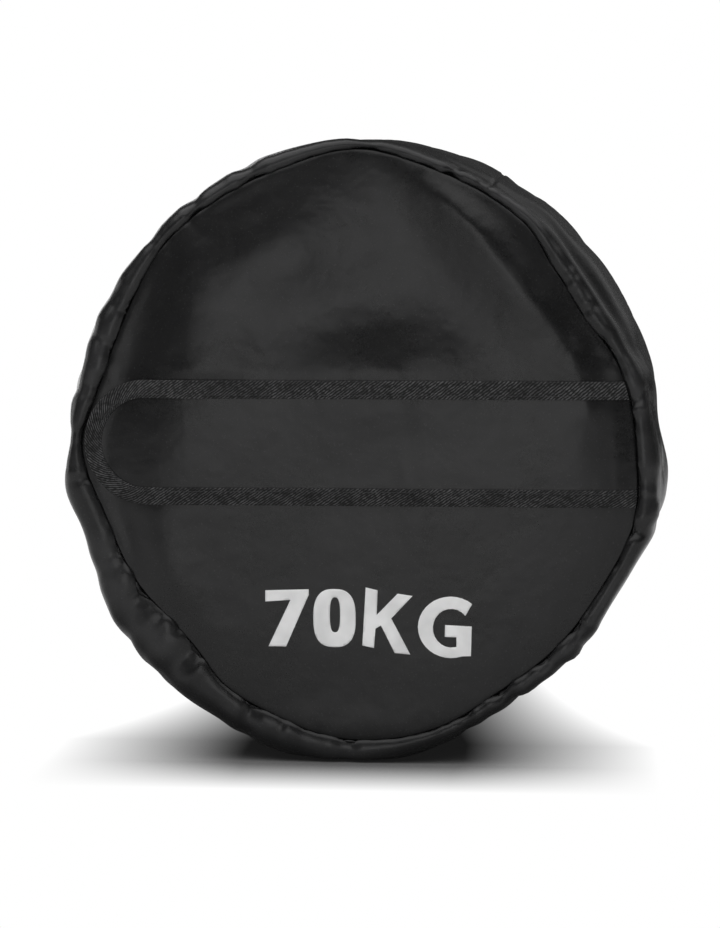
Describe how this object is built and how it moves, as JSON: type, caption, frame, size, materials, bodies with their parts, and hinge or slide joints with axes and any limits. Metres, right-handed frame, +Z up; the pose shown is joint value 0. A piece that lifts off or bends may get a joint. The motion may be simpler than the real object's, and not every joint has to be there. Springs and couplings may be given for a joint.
{
  "type": "sandbag trainer",
  "caption": "Cylindrical fabric sandbag lying on its side, with rolled end rims, a bound cover flap over the filling slit and a stowed filler sleeve.",
  "frame": {"origin": "on the floor under the middle of the bag, in the flat strip that the bag lies on", "axes": "+Z up; the bag lies along Y with its filling end and flap towards -Y; +X is to the right as one faces the flap"},
  "size_m": [0.3724, 0.4396, 0.3886],
  "materials": {
    "nylon": "black coated nylon, fine plain weave with a soft satin sheen",
    "lining": "matt black nylon lining",
    "tape": "black twill binding tape with diagonal ribs",
    "hook": "black hook-and-loop tape, matt and brushed",
    "sand": "dry filling sand"
  },
  "bodies": {
    "shell": {"side_panel": "nylon", "front_end_panel": "nylon", "rear_end_panel": "nylon", "front_seam_binding": "tape", "rear_seam_binding": "tape", "side_seam_tape": "tape", "slit_facing": "lining", "sand_fill": "sand", "loop_strip_upper": "hook", "loop_strip_lower": "hook", "flap_anchor": "nylon", "flap_anchor_tape_upper": "tape", "flap_anchor_tape_lower": "tape"},
    "flap": {"flap_outer": "nylon", "flap_lining": "lining", "flap_binding": "tape", "flap_hook_strip_upper": "hook", "flap_hook_strip_lower": "hook"},
    "sleeve": {"filler_sleeve": "lining", "sleeve_hook_strip": "hook", "sleeve_loop_strip": "hook"}
  },
  "joints": [
    {"name": "flap_peel", "type": "hinge", "parent": "shell", "child": "flap", "pos_m": [0.14998, -0.2205, 0.1989], "axis": [0, 0, 1], "range_deg": [0, 150]},
    {"name": "sleeve_pull", "type": "slide", "parent": "shell", "child": "sleeve", "axis": [0, -1, 0], "range_m": [0, 0.09]}
  ],
  "couplings": [
    {"joint": "sleeve_pull", "follows": "flap_peel", "m_per_rad": 0.034}
  ]
}
